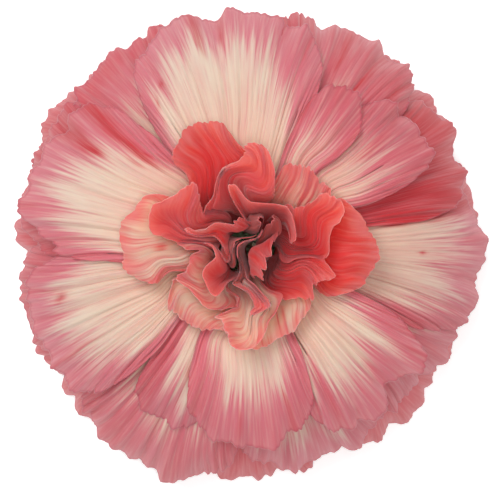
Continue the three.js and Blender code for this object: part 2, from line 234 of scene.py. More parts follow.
def crumple(points):
    """Turns points about the whirls and moves them by the ripples, more the higher they are."""
    rise = (points[..., 2] - THROAT) / CROWN_HEIGHT
    share = smooth(rise, CRUMPLE_FROM, CRUMPLE_FULL)
    for x, y, reach, turn in WHIRLS + SMALL_WHIRLS:
        dx = points[..., 0] - x * BLOOM_RADIUS
        dy = points[..., 1] - y * BLOOM_RADIUS
        near = np.exp(-(dx**2 + dy**2) / (reach * BLOOM_RADIUS) ** 2)
        angle = math.radians(turn) * share * near
        points[..., 0] += dx * (np.cos(angle) - 1) - dy * np.sin(angle)
        points[..., 1] += dx * np.sin(angle) + dy * (np.cos(angle) - 1)
    for azimuth, length, height, phase in RIPPLES + SMALL_RIPPLES:
        c, s = math.cos(math.radians(azimuth)), math.sin(math.radians(azimuth))
        along = (points[..., 0] * c + points[..., 1] * s) / (length * BLOOM_RADIUS)
        near = np.exp(-((np.hypot(points[..., 0], points[..., 1]) / (RIPPLE_REACH * BLOOM_RADIUS)) ** 4))
        move = height * BLOOM_RADIUS * np.sin(2 * math.pi * along + math.radians(phase)) * share * near
        points[..., 0] -= s * move
        points[..., 1] += c * move
    return points


# Waves run round each whorl: how many, how high as a share of the whorl's wave, and the phase of the first
# whorl and its step from one whorl to the next, in radians. The ruffles are only near the margins.
WAVES = [(3, 0.6, 0, 1.9), (7, 0.48, 0.7, 2.3), (13, 0.42, 0, 1)]
RUFFLES = [(23, 0.55, 0, 1.3), (37, 0.3, 0, 2.1), (58, 0.14, 0, 0.4)]
RUFFLES_FROM = 0.6


def whorl_wave(name, azimuth, out):
    """Waves of a whorl, which its petals share so that those that overlap stay apart."""
    place = list(WHORLS).index(name)
    add = lambda waves: sum(h * np.sin(n * azimuth + phase + step * place) for n, h, phase, step in waves)
    return WHORLS[name]["wave"] * (add(WAVES) * out**2 + add(RUFFLES) * smooth(out, RUFFLES_FROM, 1.0) ** 2)


# How far out the fan, the rank and the turn to the blade's azimuth are full, and the claw's width is gone
FAN_FULL, RANK_FULL, TURN_FULL, CLAW_FADES = 0.35, 0.3, 0.45, 0.5
CLAW_SHARE = 0.2  # of the petal's length below the section's start, for its colours
CORNER_CUT, CORNER_POWER = 0.2, 2.6  # how a petal's outline falls back to its sides
OUTLINE_WOBBLE, OUTLINE_PERIOD = 0.5, 9.0

# Heights and periods across a petal in millimetres, and how far out each starts
PLEATS = [(0.3, 5.0), (0.12, 1.9)]
DRIFT, DRIFT_PERIOD, DRIFT_SLANT = 0.2, 8.0, 9
FLUTTER, FLUTTER_PERIOD, FLUTTER_FROM = 0.18, 3.2, 0.78
ROLL_FROM, LEAN_FROM, CREASE_FADE = 0.82, 0.4, 0.3


def margin_teeth(width, rng):
    """Columns across a petal with a toothed margin: places from -1 to 1, and the depth of the cut at each."""
    count = max(int(width / TOOTH_PITCH), FEWEST_TEETH)
    pitches = rng.uniform(*PITCH_RANGE, count)
    notches = np.concatenate([[0], np.cumsum(pitches)])
    notches = 2 * notches / notches[-1] - 1
    depths = TOOTH_DEPTH * rng.uniform(*DEPTH_RANGE, count + 1)
    depths[rng.integers(2, count - 1, count // TEETH_PER_SPLIT)] *= SPLIT_DEPTH
    places, cuts = [], []
    for i in range(count):
        lean = rng.uniform(-TOOTH_LEAN, TOOTH_LEAN)
        for part, cut in TOOTH_PARTS:
            places.append(mix(notches[i], notches[i + 1], part + (lean if part else 0)))
            depth = depths[i] if part < TOOTH_CREST else depths[i + 1]
            cuts.append(depth * cut)
    return np.array([*places, 1.0]), np.array([*cuts, depths[-1]])


def grid_normals(points):
    """The direction across the sheet at each point of a grid."""
    ahead = np.gradient(points, axis=0)
    right = np.gradient(points, axis=1)
    normal = np.cross(ahead, right)
    return normal / np.maximum(np.linalg.norm(normal, axis=2, keepdims=True), 1e-9)


def petal_outline(across, out, cuts, half_width, length, form, seed):
    """How far the margin reaches along each ray, as a share of the petal's length."""
    corners = CORNER_CUT * np.abs(across) ** CORNER_POWER + form["round"] * np.abs(across) ** 4
    outline = 1 - corners + OUTLINE_WOBBLE / length * wander(across * half_width, seed, OUTLINE_PERIOD)
    for middle, depth, width in form["notches"]:
        outline -= depth / length * np.exp(-(((across - middle) / width) ** 2))
    return outline - cuts * form["teeth"] / length * smooth(out, MARGIN_FROM, 1.0)


def claw_grid(claw_azimuth, claw, columns, section):
    """Rows of points down the claw, from the calyx floor to the section's start."""
    down = np.linspace(1, 0, CLAW_ROWS + 1)[:-1, None]
    angle = claw_azimuth + columns[None, :] * claw / section.start[0]
    height = mix(section.start[1], CLAW_BOTTOM, down) + 0 * angle
    radius = section.start[0] + 0 * height
    over = 0 * height - CLAW_SHARE * down
    return np.stack([radius * np.cos(angle), radius * np.sin(angle), height], axis=2), over


def petal_grid(name, order, rng):
    """Points of a petal's middle surface from the claw's foot to the margin, with the coordinates of each."""
    whorl = WHORLS[name]
    azimuth, reach, rank, spread = PETALS[name][order]
    form = {**FORMS["any"], **FORMS.get(name, {}), **FORMS.get(f"{name}_petal_{order + 1}", {})}
    section = Section(name)
    length = section.length * section.share_at_radius(reach * BLOOM_RADIUS)
    claw_azimuth = math.radians(claw_azimuths(name)[order])
    difference = math.radians(azimuth) - claw_azimuth
    blade_azimuth = claw_azimuth + math.atan2(math.sin(difference), math.cos(difference))
    half_width = length * math.sin(math.radians(whorl["fan"] * spread))
    columns, cuts = margin_teeth(2 * half_width, rng)
    rows = np.concatenate([np.linspace(0, MARGIN_FROM, BLADE_ROWS), MARGIN_ROWS])
    across, out = np.meshgrid(columns, rows)
    seed = int(rng.integers(1 << 30))

    outline = petal_outline(across, out, np.broadcast_to(cuts, across.shape), half_width, length, form, seed)
    fan = math.radians(whorl["fan"] * spread) * across * smooth(out, 0, FAN_FULL)
    ray = out * length * outline
    share = np.minimum(ray * np.cos(fan) / section.length, 1)
    radius, height, along_r, along_h = section.at(share)
    sideways = across * whorl["claw"] * (1 - smooth(out, 0, CLAW_FADES)) + ray * np.sin(fan)
    most = math.radians(whorl["turn"] * spread)
    turn = most * np.tanh(sideways / np.maximum(radius, section.start[0]) / most)
    angle = mix(claw_azimuth, blade_azimuth, smooth(out, 0, TURN_FULL)) + turn
    lift = rank * RANK_STEP * smooth(out, 0, RANK_FULL) + whorl_wave(name, angle, out)
    lift += relief(across * half_width, out, seed) + folds(form, across, out)
    r, z = radius - along_h * lift, height + along_r * lift
    blade = crumple(np.stack([r * np.cos(angle), r * np.sin(angle), z], axis=2))

    claw, down = claw_grid(claw_azimuth, whorl["claw"], columns, section)
    points = np.concatenate([claw, blade])
    points[..., 2] = np.maximum(points[..., 2], LOWEST)
    sides = np.concatenate([columns[None, :] + 0 * down, across])
    return points, sides, np.concatenate([down, out]), length, half_width


def relief(along, out, seed):
    """A petal's own furrows, pleats and flutter, in millimetres, small beside the gap to its neighbours."""
    pleats = sum(h * wander(along, seed + 1 + i, period) for i, (h, period) in enumerate(PLEATS))
    drift = DRIFT * wander(along + DRIFT_SLANT * out, seed + 3, DRIFT_PERIOD) * smooth(out, 0.3, MARGIN_FROM)
    flutter = FLUTTER * wander(along, seed + 4, FLUTTER_PERIOD) * smooth(out, FLUTTER_FROM, 1.0)
    return pleats * smooth(out, 0.1, 0.7) + drift + flutter


def folds(form, across, out):
    """A petal's roll, lean, belly, droop and creases, in millimetres."""
    total = form["roll"] * smooth(out, ROLL_FROM, 1.0) ** 2 + np.zeros_like(out)
    total -= form["belly"] * smooth(out, 0.25, 0.6) * (1 - smooth(out, 0.7, 0.95))
    total += form["lean"] * smooth(out, LEAN_FROM, 1.0)
    total += form["droop"] * np.abs(across) ** 3 * smooth(out, 0.3, 1.0)
    for middle, depth, width, start in form["creases"]:
        total -= depth * np.exp(-np.abs(across - middle) / width) * smooth(out, start, start + CREASE_FADE)
    return total


# Notches in an outline are (across, depth in mm, half width) and creases (across, depth in mm, half width,
# how far out they start). In mm, a roll lifts the margin, a lean the upper part and a droop the sides, and a
# belly lowers the middle. Teeth are a share of the usual depth, and round is the share by which the corners
# are cut back.
FORMS = {
    "any": dict(
        notches=[], creases=[], roll=0.0, lean=0.0, belly=0.0, droop=0.0, teeth=1.0, round=0.08,
    ),
    "outer": dict(round=0.12),
    "front": dict(round=0.2),
    "ruff": dict(teeth=0.6, round=0.16),
    "crown": dict(teeth=0.6, round=0.12),
    "core": dict(teeth=0.5, round=0.1, lean=2.2),
    "heart": dict(teeth=0.3, round=0.1, belly=1.2),
    "front_petal_1": dict(
        creases=[(-0.34, 1.2, 0.12, 0.45), (0.2, -0.5, 0.14, 0.6)], notches=[(-0.42, 1.8, 0.1)],
    ),
    "front_petal_2": dict(
        creases=[(0.6, 0.9, 0.14, 0.45), (-0.15, 0.5, 0.1, 0.5)], notches=[(0.62, 2.4, 0.12)],
    ),
    "front_petal_3": dict(creases=[(-0.2, 0.5, 0.1, 0.4), (0.35, 0.5, 0.12, 0.5)], notches=[(0.3, 0.9, 0.1)]),
    "front_petal_4": dict(creases=[(0.1, 0.5, 0.2, 0.4)]),
    "front_petal_5": dict(creases=[(0.25, 0.5, 0.12, 0.4)], notches=[(0.3, 1.0, 0.1)]),
    "front_petal_6": dict(creases=[(0.1, 1.0, 0.14, 0.45)], notches=[(0.12, 3.4, 0.12)]),
    "outer_petal_3": dict(creases=[(-0.3, 0.5, 0.08, 0.5), (0.1, 0.5, 0.08, 0.5), (0.5, 0.4, 0.08, 0.6)]),
    "outer_petal_4": dict(roll=1.2),
    "heart_petal_1": dict(lean=2.3, roll=0.5),
    "heart_petal_2": dict(lean=1.7, roll=0.5),
    "heart_petal_3": dict(lean=2.5, roll=0.4),
    "heart_petal_4": dict(lean=1.6, roll=0.6),
    "core_petal_1": dict(lean=2.2, roll=0.6, droop=-0.5),
    "core_petal_3": dict(lean=2.4, roll=0.5, droop=0.5),
    "crown_petal_2": dict(roll=-0.6, droop=-0.5),
    "crown_petal_4": dict(roll=0.9, droop=0.5),
}


# ---- Meshes ----
def sheet_mesh(name, points, thickness, fields, uv):
    """A closed sheet round a grid of points, with named values for each point and mapping in millimetres."""
    rows, columns = points.shape[:2]
    normal = grid_normals(points)
    offset = normal * thickness[..., None] / 2
    top, under = points + offset, points - offset
    vertices = np.concatenate([top.reshape(-1, 3), under.reshape(-1, 3)]) + AXIS
    index = np.arange(rows * columns).reshape(rows, columns)
    a, b, c, d = index[:-1, :-1], index[:-1, 1:], index[1:, 1:], index[1:, :-1]
    faces_top = np.stack([a, d, c, b], axis=2).reshape(-1, 4)
    faces_under = np.stack([a, b, c, d], axis=2).reshape(-1, 4) + index.size
    ring = np.concatenate([index[0, :-1], index[:-1, -1], index[-1, :0:-1], index[:0:-1, 0]])
    after = np.roll(ring, -1)
    rim = np.stack([ring, after, after + index.size, ring + index.size], axis=1)
    faces = np.concatenate([faces_top, faces_under, rim])
    corner = vertices[faces]
    volume = np.einsum("ij,ij->i", corner[:, 0], np.cross(corner[:, 1], corner[:, 2])).sum()
    volume += np.einsum("ij,ij->i", corner[:, 0], np.cross(corner[:, 2], corner[:, 3])).sum()
    if volume < 0:
        faces = faces[:, ::-1]
    mesh = bpy.data.meshes.new(name)
    mesh.vertices.add(len(vertices))
    mesh.vertices.foreach_set("co", (vertices * MM).astype(np.float32).ravel())
    mesh.loops.add(faces.size)
    mesh.loops.foreach_set("vertex_index", faces.astype(np.int32).ravel())
    mesh.polygons.add(len(faces))
    mesh.polygons.foreach_set("loop_start", np.arange(0, faces.size, 4, dtype=np.int32))
    mesh.update(calc_edges=True)
    mesh.polygons.foreach_set("use_smooth", np.ones(len(faces), bool))
    for label, value in fields.items():
        both = np.concatenate([value.ravel(), value.ravel()]).astype(np.float32)
        mesh.attributes.new(label, "FLOAT", "POINT").data.foreach_set("value", both)
    under_side = np.repeat([0.0, 1.0], index.size).astype(np.float32)
    mesh.attributes.new("under", "FLOAT", "POINT").data.foreach_set("value", under_side)
    flat = np.concatenate([uv.reshape(-1, 2), uv.reshape(-1, 2)])
    mesh.uv_layers.new(name="Petal").data.foreach_set("uv", flat[faces.ravel()].astype(np.float32).ravel())
    unit = np.stack(np.meshgrid(np.linspace(0, 1, columns), np.linspace(0, 1, rows)), axis=2).reshape(-1, 2)
    halves = np.concatenate([unit * (0.48, 0.98) + (0.01, 0.01), unit * (0.48, 0.98) + (0.51, 0.01)])
    mesh.uv_layers.new(name="OFBake").data.foreach_set("uv", halves[faces.ravel()].astype(np.float32).ravel())
    piece = bpy.data.objects.new(name, mesh)
    bpy.context.scene.collection.objects.link(piece)
    return piece


# ---- Colours ----
def srgb(red, green, blue):
    """A colour given as 8-bit sRGB, as the shader's linear colour."""
    channel = lambda v: v / 12.92 if v <= 0.04045 else ((v + 0.055) / 1.055) ** 2.4
    return tuple(channel(v / 255) for v in (red, green, blue)) + (1.0,)


# Where petals are pink and red. Blush is how far out the pink starts, over a width of soft, and it starts
# nearer in by side at the sides; left and right add to that on one side only. Red is how red the pink is, and
# flood how red the petal is all over. The throat value is how strong the darker base towards the claw is,
# partly the petal's own tint and partly painted shade deep in the bloom; edge is how far out the rim's colour
# starts.
# Streaks are wedges (across, half width at the margin, start, strength), and flecks (across, out, half width,
# half length, strength).
LOOKS = {
    "any": dict(left=0, right=0, streaks=[], flecks=[]),
    "guard": dict(blush=0.42, soft=0.3, side=0.3, red=0.6, flood=0.28, throat_tint_and_shade=0.5, edge=0.972),
    "outer": dict(blush=0.6, soft=0.25, side=0.28, red=0.45, flood=0.1, throat_tint_and_shade=0.6, edge=0.972),
    "front": dict(blush=0.77, soft=0.17, side=0.26, red=0.2, flood=0.0, throat_tint_and_shade=0.8, edge=0.972),
    "ruff": dict(blush=0.3, soft=0.4, side=0.2, red=0.6, flood=0.5, throat_tint_and_shade=0.9, edge=0.86),
    "crown": dict(blush=0.2, soft=0.4, side=0.2, red=0.5, flood=0.8, throat_tint_and_shade=1.0, edge=0.88),
    "core": dict(blush=0.2, soft=0.4, side=0.2, red=0.6, flood=0.9, throat_tint_and_shade=1.0, edge=0.9),
    "heart": dict(blush=0.2, soft=0.4, side=0.2, red=0.6, flood=0.9, throat_tint_and_shade=1.0, edge=0.9),
}
PETAL_LOOKS = {
    "front_petal_1": dict(
        right=0.25, streaks=[(0.02, 0.035, 0.7, 0.75), (0.16, 0.04, 0.68, 0.8), (-0.55, 0.05, 0.75, 0.5)],
        flecks=[(0.55, 0.76, 0.03, 0.02, 0.7), (0.68, 0.76, 0.03, 0.02, 0.5)],
    ),
    "front_petal_2": dict(
        right=0.3, red=0.2,
        streaks=[(-0.28, 0.11, 0.62, 1.0), (-0.55, 0.12, 0.45, 0.9), (0.3, 0.04, 0.8, 0.4)],
        flecks=[(-0.6, 0.6, 0.04, 0.03, 0.8), (-0.76, 0.6, 0.04, 0.03, 0.6), (-0.42, 0.56, 0.03, 0.05, 0.5)],
    ),
    "front_petal_3": dict(
        blush=0.77, side=0.3, left=0.1, streaks=[(0.2, 0.03, 0.6, 0.4), (-0.4, 0.03, 0.7, 0.4)],
        flecks=[(-0.3, 0.76, 0.05, 0.03, 0.7)],
    ),
    # On this narrow folded petal, the pink and red laid on from further in on one side are partly its own red
    # and partly painted shade on the fold's shaded side.
    "front_petal_4": dict(right=0.6, red=0.4, flecks=[(0.1, 0.62, 0.1, 0.05, 0.7)]),
    "front_petal_5": dict(
        blush=0.7, left=0.1, right=0.2, streaks=[(-0.1, 0.05, 0.7, 0.4), (0.4, 0.06, 0.65, 0.5)],
    ),
    "front_petal_6": dict(blush=0.74, left=0.1, right=0.2, streaks=[(0.5, 0.05, 0.75, 0.4)]),
    "front_petal_7": dict(
        blush=0.66, soft=0.3, side=0.4, red=0.4, flood=0.12, streaks=[(0.1, 0.2, 0.5, 0.4)],
    ),
    "front_petal_8": dict(
        blush=0.66, soft=0.3, side=0.4, red=0.3, flood=0.1, streaks=[(-0.2, 0.2, 0.4, 0.3)],
    ),
    "outer_petal_1": dict(
        blush=0.72, streaks=[(0.4, 0.12, 0.35, 1.0), (0.66, 0.05, 0.5, 0.8), (-0.5, 0.05, 0.7, 0.5)],
        flecks=[(0.0, 0.56, 0.03, 0.02, 0.8)],
    ),
    "outer_petal_2": dict(blush=0.5, red=0.7, flood=0.75),
    "outer_petal_3": dict(
        blush=0.5, red=0.5, flood=0.15, streaks=[
            (-0.6, 0.12, 0.5, 0.8), (-0.25, 0.1, 0.5, 0.8), (0.05, 0.1, 0.55, 0.8), (0.5, 0.1, 0.6, 0.7),
        ],
    ),
    "outer_petal_4": dict(blush=0.6, red=0.4, flood=0.1),
    "outer_petal_5": dict(blush=0.5, red=0.55, flood=0.3),
    "outer_petal_6": dict(blush=0.6, red=0.5, flood=0.2),
    "outer_petal_8": dict(blush=0.72, red=0.35),
    "ruff_petal_1": dict(flood=0.75),
    "ruff_petal_2": dict(
        blush=0.9, soft=0.25, side=0.4, red=0.6, flood=0.04, flecks=[(0.1, 0.75, 0.06, 0.05, 0.7)],
    ),
    "ruff_petal_3": dict(blush=0.95, soft=0.25, red=0.3, flood=0.05, throat_tint_and_shade=0.5),
    "ruff_petal_4": dict(blush=0.95, soft=0.25, red=0.3, flood=0.05, throat_tint_and_shade=0.5),
    "ruff_petal_5": dict(flood=0.7),
    "ruff_petal_6": dict(blush=0.85, soft=0.25, side=0.3, red=0.5, flood=0.12),
    "crown_petal_1": dict(blush=0.55, soft=0.3, red=0.4, flood=0.35, throat_tint_and_shade=0.8),
    "crown_petal_2": dict(blush=0.6, soft=0.3, red=0.4, flood=0.4, throat_tint_and_shade=0.8),
    "crown_petal_3": dict(blush=0.85, soft=0.25, red=0.4, flood=0.05, throat_tint_and_shade=0.5),
    "crown_petal_4": dict(blush=0.9, soft=0.2, side=0.3, red=0.5, flood=0.03, throat_tint_and_shade=0.35),
    "core_petal_4": dict(blush=0.8, soft=0.25, red=0.4, flood=0.25, throat_tint_and_shade=0.8),
}
# Every petal also has a few faint streaks of its own, with their four values in these ranges.
STRAY_STREAKS = 4
STRAY_RANGES = ((-0.85, 0.85), (0.012, 0.025), (0.65, 0.9), (0.15, 0.4))
STREAK_FOOT = 0.25  # a streak's width where it starts, as a share of its width at the margin
STREAK_FADE = 0.12
STREAK_PINK, FLECK_PINK = 0.8, 0.7  # how pink they are as a share of how red
RED_FADE = 0.35
# How far out the darker base, partly painted shade, fades away
THROAT_FROM, THROAT_TO = 0.2, 0.75
RAGGED = [(0.07, 0.4), (0.035, 0.09)]  # height and period of the uneven edge between the colours
FLOOD_VARIES, FLOOD_SLANT, FLOOD_PERIOD = 0.3, 0.4, 0.7
SWAY, SWAY_PERIOD = 0.01, 0.3  # of the streaks, to the sides


def colour_fields(name, order, across, out, rng):
    """How pink and red a petal is at each point, where its rim is, and how strong its darker base is, which
    is partly painted shade.
    """
    look = {**LOOKS["any"], **LOOKS[name], **PETAL_LOOKS.get(f"{name}_petal_{order + 1}", {})}
    seed = int(rng.integers(1 << 30))
    reached = out + sum(h * wander(across, seed + i, period) for i, (h, period) in enumerate(RAGGED))
    start = look["blush"] - look["side"] * np.abs(across) ** 4
    start = start - look["left"] * np.clip(across, 0, 1) - look["right"] * np.clip(-across, 0, 1)
    pink = smooth(reached, start - look["soft"], start + look["soft"])
    red = look["red"] * smooth(reached, start, start + RED_FADE)
    uneven = wander(across + FLOOD_SLANT * out, seed + 2, FLOOD_PERIOD)
    flood = look["flood"] * (1 + FLOOD_VARIES * uneven)
    red = np.clip(red + flood - red * flood, 0, 1)
    pink = np.clip(pink + flood, 0, 1)
    streaks = list(look["streaks"])
    for _ in range(STRAY_STREAKS):
        streaks.append([rng.uniform(*span) for span in STRAY_RANGES])
    sway = SWAY * wander(out, seed + 3, SWAY_PERIOD)
    for place, width, begin, strength in streaks:
        gone = np.clip((out - begin) / (1 - begin), 0, 1)
        spread = width * mix(STREAK_FOOT, 1, gone)
        wedge = np.exp(-(((across - place + sway) / spread) ** 2))
        wedge = wedge * smooth(out, begin, begin + STREAK_FADE) * strength
        red = np.maximum(red, wedge)
        pink = np.maximum(pink, STREAK_PINK * wedge)
    for place, far, width, long, strength in look["flecks"]:
        spot = np.exp(-(((across - place) / width) ** 2) - ((out - far) / long) ** 2) * strength
        red = np.maximum(red, spot)
        pink = np.maximum(pink, FLECK_PINK * spot)
    rim = smooth(out, look["edge"], 1.0)
    # The darker base fades out from the claw: partly the petal's own tint, partly painted shade deep in the
    # bloom.
    throat_tint_and_shade = look["throat_tint_and_shade"] * (1 - smooth(out, THROAT_FROM, THROAT_TO))
    return dict(pink=pink, red=red, rim=rim, throat_tint_and_shade=throat_tint_and_shade)


def node(tree, kind, **inputs):
    """A new node with these settings."""
    made = tree.nodes.new(kind)
    for label, value in inputs.items():
        setattr(made, label, value)
    return made


def finish_surface(tree, shader, settings, height, strength, depth):
    """The shader's plain settings, and fine relief from a height, with its depth in metres."""
    for label, setting in settings.items():
        shader.inputs[label].default_value = setting
    bump = node(tree, "ShaderNodeBump")
    bump.inputs["Strength"].default_value = strength
    bump.inputs["Distance"].default_value = depth
    tree.links.new(height, bump.inputs["Height"])
    tree.links.new(bump.outputs[0], shader.inputs["Normal"])


# Veins in a petal's material: how many to the millimetre across and along, and their detail
HAIR_VEINS, BAND_VEINS, MOTTLE_VEINS = (2.4, 0.1, 3), (0.8, 0.05, 2), (0.35, 0.08, 3)
CLOUD_SHARE = 0.4  # of the hairlines' strength, for the broad flush behind them
PETAL_SURFACE = {
    "Roughness": 0.55, "Specular IOR Level": 0.3, "Sheen Weight": 0.15,
    "Subsurface Radius": (1.0, 0.45, 0.35), "Subsurface Scale": 0.0018,
}
PETAL_RELIEF, PETAL_RELIEF_DEPTH = 0.25, 0.0003


def petal_material(name, cream, pink, red, rim, throat_tint_and_shade, flush, rim_share, pale_under, glow):
    """Petal tissue: pink and red over cream by the mesh's values, broken up by hairlines along the veins."""
    material = bpy.data.materials.new(name)
    material.use_nodes = True
    tree = material.node_tree
    shader = tree.nodes["Principled BSDF"]
    link = tree.links.new

    def value(label):
        made = node(tree, "ShaderNodeAttribute", attribute_name=label)
        return made.outputs["Fac"]

    def maths(operation, *terms, clamp=False):
        made = node(tree, "ShaderNodeMath", operation=operation, use_clamp=clamp)
        for socket, term in zip(made.inputs, terms):
            if isinstance(term, (int, float)):
                socket.default_value = term
            else:
                link(term, socket)
        return made.outputs[0]

    def blend(share, first, second):
        made = node(tree, "ShaderNodeMix", data_type="RGBA")
        for socket, term in ((made.inputs[0], share), (made.inputs[6], first), (made.inputs[7], second)):
            if isinstance(term, (tuple, float, int)):
                socket.default_value = term
            else:
                link(term, socket)
        return made.outputs[2]

    def veins(scale_across, scale_along, detail):
        mapping = node(tree, "ShaderNodeMapping")
        mapping.inputs["Scale"].default_value = (scale_across, scale_along, 1)
        link(node(tree, "ShaderNodeUVMap", uv_map="Petal").outputs[0], mapping.inputs[0])
        noise = node(tree, "ShaderNodeTexNoise", noise_dimensions="2D")
        noise.inputs["Scale"].default_value = 1.0
        noise.inputs["Detail"].default_value = detail
        link(mapping.outputs[0], noise.inputs["Vector"])
        return noise.outputs["Fac"]

    def ramp(term, low, gain):
        return maths("MULTIPLY", maths("SUBTRACT", term, low), gain, clamp=True)

    hair, band, mottle = veins(*HAIR_VEINS), veins(*BAND_VEINS), veins(*MOTTLE_VEINS)
    pinkness = value("pink")
    lines = maths("MULTIPLY", ramp(hair, 0.47, 6.0), ramp(band, 0.3, 1.6))
    spread = maths("SUBTRACT", maths("ADD", maths("MULTIPLY", hair, 1.7), maths("MULTIPLY", band, 0.5)), 1.1)
    between = maths("MULTIPLY", maths("MULTIPLY", pinkness, maths("SUBTRACT", 1.0, pinkness)), 4.0)
    pink_share = maths("ADD", pinkness, maths("MULTIPLY", between, spread), clamp=True)
    pink_share = maths("MULTIPLY", pink_share, maths("ADD", 0.66, maths("MULTIPLY", hair, 0.6)), clamp=True)
    clouds = maths("MULTIPLY", ramp(mottle, 0.4, 2.4), CLOUD_SHARE * flush)
    lines = maths("ADD", maths("MULTIPLY", lines, flush), clouds, clamp=True)
    pink_share = maths("MAXIMUM", pink_share, lines)
    red_share = maths("MULTIPLY", value("red"), maths("ADD", 0.45, maths("MULTIPLY", hair, 1.1)), clamp=True)
    colour = blend(maths("MULTIPLY", mottle, 0.5), cream, tuple(0.9 * c for c in cream[:3]) + (1.0,))
    # The darker base colour over the cream: partly the petal's own tint, partly painted shade.
    colour = blend(maths("MULTIPLY", value("throat_tint_and_shade"), 0.8), colour, throat_tint_and_shade)
    colour = blend(pink_share, colour, pink)
    colour = blend(red_share, colour, red)
    colour = blend(maths("MULTIPLY", value("rim"), rim_share), colour, rim)
    colour = blend(maths("MULTIPLY", value("under"), pale_under), colour, cream)
    link(colour, shader.inputs["Base Color"])
    surface = {**PETAL_SURFACE, "Subsurface Weight": glow}
    finish_surface(tree, shader, surface, hair, PETAL_RELIEF, PETAL_RELIEF_DEPTH)
    return material


# The fifth colour is the darker base towards the claw, partly the petal's own tint and partly painted shade.
OUTER_PETAL = petal_material(
    "outer_petal", srgb(232, 202, 182), srgb(212, 112, 124), srgb(194, 46, 54), srgb(184, 56, 78),
    srgb(222, 172, 142), flush=0.65, rim_share=0.75, pale_under=0.2, glow=0.3,
)
INNER_PETAL = petal_material(
    "inner_petal", srgb(244, 192, 172), srgb(220, 98, 104), srgb(210, 46, 50), srgb(224, 92, 100),
    srgb(224, 54, 50), flush=0.42, rim_share=0.5, pale_under=0.1, glow=1.0,
)


MAP_STEP = 60  # millimetres from one petal's mapping to the next, so that no two have the same veins


def make_petal(name, order):
    """One fine petal in place of its CAD node."""
    rng = np.random.default_rng([list(WHORLS).index(name), order, SEED])
    points, across, out, length, half_width = petal_grid(name, order, rng)
    fields = colour_fields(name, order, across, out, rng)
    thickness = mix(PETAL_THICKNESS, MARGIN_THICKNESS, smooth(out, THIN_FROM, 1.0))
    apart = MAP_STEP * (order + 10 * list(WHORLS).index(name))
    uv = np.stack([across * half_width + apart, out * length], axis=2)
    piece = sheet_mesh(f"{name}_petal_{order + 1}_fine", points, thickness, fields, uv)
    inner = name in INNER
    piece.data.materials.append(INNER_PETAL if inner else OUTER_PETAL)
    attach(piece, "root")
    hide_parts(f"{name}_petal_{order + 1}")


for whorl in WHORLS:
    for order in range(len(PETALS[whorl])):
        make_petal(whorl, order)


# ---- Calyx, bracts, stem and receptacle, pistil ----
CALYX_WALL = 0.6
CALYX_FLOOR = 0.8
CALYX_SIDES = 160
TOOTH_COUNT = 5
TOOTH_LENGTH = 4.5
RIB_COUNT = 20
STEM_RADIUS = 2.3
BRACT_BASE = 3.6
BRACT_LENGTH = 9.0
BRACT_HALF_WIDTH = 4.6
BRACT_THICKNESS = 0.42
BRACT_COUNT = 4
BRACT_ROWS, BRACT_COLUMNS = 40, 31
BRACT_TIP = 0.2  # half width at its point
KEEL_HEIGHT, KEEL_WIDTH = 0.1, 0.12
BRACT_WOBBLE, BRACT_WOBBLE_PERIOD = 0.03, 1.6
BRACT_VEINS = 9
CALYX_FOOT = [(0.66, 0.25), (0.9, 1.3), (1.0, 3.4)]  # share of the radius, height over the calyx's base
FOOT_HEIGHT = CALYX_FOOT[-1][1]
RIB_HEIGHT = 0.08
TOOTH_POINT = 1.3  # over 1 hollows the teeth's sides
# From the middle of the cut end to its edge: radius and height
CUT_END = [
    (0.15, 0.22), (0.5, 0.2), (0.9, 0.14), (1.1, 0.06), (1.6, 0.05), (2.0, 0.02), (2.18, 0.0), (2.26, 0.06),
]
CUT_HEIGHT = 0.1
RIDGE_COUNT = 14
RIDGE_HEIGHT = 0.05
SEAT_SHARE = 0.6
STEM_SIDES = 96


GREEN_LINES = (2600, 2600, 260)  # to the metre
GREEN_GRAIN = 700
FIELD_SHARE, NOISE_SHARE = 0.9, 0.35  # of the mesh's values and of the noise, in each mask
DRY_FROM, DRY_FULL = 0.3, 1.1
GREEN_SURFACE = {
    "Subsurface Weight": 0.1, "Subsurface Radius": (0.6, 1.0, 0.3), "Subsurface Scale": 0.0006,
}
GREEN_RELIEF, GREEN_RELIEF_DEPTH = 0.4, 0.0002


